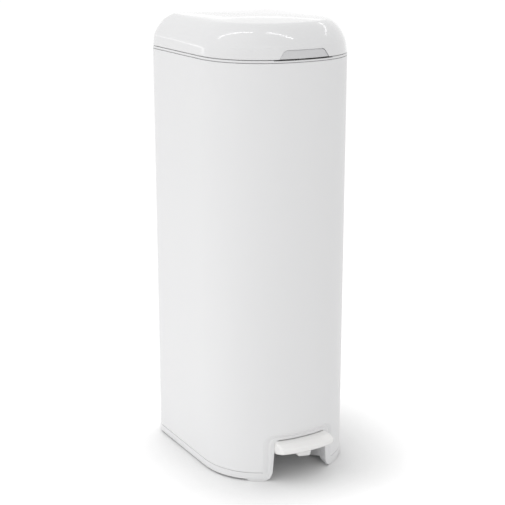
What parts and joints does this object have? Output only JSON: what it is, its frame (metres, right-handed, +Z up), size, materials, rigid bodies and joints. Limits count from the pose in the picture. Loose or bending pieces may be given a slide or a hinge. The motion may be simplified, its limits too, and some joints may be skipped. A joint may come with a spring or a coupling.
{
  "type": "nappy bin",
  "caption": "Slim pedal bin for used nappies: white steel body with a curved front, domed lid, foot pedal, and a tilting collar that holds the liner cassette and sprung odour flaps.",
  "frame": {"origin": "middle of the overall footprint, on the floor", "axes": "+Z up, -Y towards the pedal and the front, +Y towards the hinge, +X to the right seen from the front"},
  "size_m": [0.2006, 0.2764, 0.6],
  "materials": {
    "steel_body": "satin powder coat",
    "lid_white": "high gloss",
    "base_white": "fine satin moulding",
    "pedal_white": "satin",
    "rim_white": "satin",
    "tab_grey": "satin",
    "inner_white": "plain moulding",
    "cassette_blue": "plain moulding",
    "dark_plastic": "plain moulding",
    "seal_grey": "soft",
    "foot_white": "matte",
    "zinc_steel": "zinc plated",
    "spring_steel": "bright wire"
  },
  "bodies": {
    "root": {"body_shell": "steel_body", "base_tray": "base_white", "foot_pads": "foot_white", "base_screws": "zinc_steel", "top_frame": "inner_white", "hinge_bracket": "zinc_steel", "bracket_screws": "zinc_steel", "hinge_pin": "zinc_steel", "rod_cover": "inner_white", "rod_guides": "inner_white", "pedal_axle": "zinc_steel", "axle_clips": "spring_steel", "axle_spacers": "inner_white", "rod_spring": "spring_steel"},
    "pedal": {"pedal_lever": "zinc_steel", "pedal_pad": "pedal_white", "pad_screws": "zinc_steel"},
    "rod": {"push_rod": "zinc_steel", "rod_foot": "dark_plastic", "rod_head": "dark_plastic", "rod_clip": "spring_steel"},
    "collar": {"collar_ring": "rim_white", "cassette_holder": "inner_white", "liner_cassette": "cassette_blue", "flap_plate": "rim_white", "flap_pins": "zinc_steel", "flap_springs": "spring_steel", "film_cutter": "tab_grey", "cutter_blade": "spring_steel", "catch_spring": "spring_steel"},
    "flap_left": {"flap_left": "inner_white"},
    "flap_right": {"flap_right": "inner_white"},
    "catch": {"lock_catch": "dark_plastic"},
    "lid": {"lid_shell": "lid_white", "lid_panel": "rim_white", "lid_seal": "seal_grey", "lid_bracket": "inner_white", "lid_screws": "zinc_steel", "lock_springs": "spring_steel"},
    "button": {"lock_button": "tab_grey"}
  },
  "joints": [
    {"name": "collar_tilt", "type": "hinge", "parent": "root", "child": "collar", "pos_m": [0, 0.13375, 0.554], "axis": [-1, 0, 0], "range_deg": [0, 50]},
    {"name": "lid_open", "type": "hinge", "parent": "collar", "child": "lid", "pos_m": [0, 0.13375, 0.554], "axis": [-1, 0, 0], "range_deg": [0, 70]},
    {"name": "pedal_press", "type": "hinge", "parent": "root", "child": "pedal", "pos_m": [0, 0.01175, 0.03], "axis": [1, 0, 0], "range_deg": [0, 11.93]},
    {"name": "rod_slide", "type": "slide", "parent": "root", "child": "rod", "axis": [0, 0, 1], "range_m": [0, 0.02067], "stiffness_N_per_m": 80, "springref_m": -0.02, "deforming": ["rod_spring"]},
    {"name": "flap_left_open", "type": "hinge", "parent": "collar", "child": "flap_left", "pos_m": [-0.057, 0.00475, 0.54305], "axis": [0, 1, 0], "range_deg": [0, 70], "stiffness_Nm_per_rad": 0.03, "springref_deg": -34.38},
    {"name": "flap_right_open", "type": "hinge", "parent": "collar", "child": "flap_right", "pos_m": [0.057, 0.00475, 0.54305], "axis": [0, -1, 0], "range_deg": [0, 70], "stiffness_Nm_per_rad": 0.03, "springref_deg": -34.38},
    {"name": "button_press", "type": "slide", "parent": "lid", "child": "button", "axis": [0, 1, 0], "range_m": [0, 0.0025], "stiffness_N_per_m": 400, "springref_m": -0.002},
    {"name": "catch_slide", "type": "slide", "parent": "collar", "child": "catch", "axis": [0, 1, 0], "range_m": [0, 0.0025], "stiffness_N_per_m": 200, "springref_m": -0.002}
  ],
  "couplings": [
    {"joint": "pedal_press", "follows": "lid_open", "ratio": 0.17042},
    {"joint": "rod_slide", "follows": "lid_open", "m_per_rad": 0.016918},
    {"joint": "catch_slide", "follows": "button_press", "ratio": 1}
  ]
}
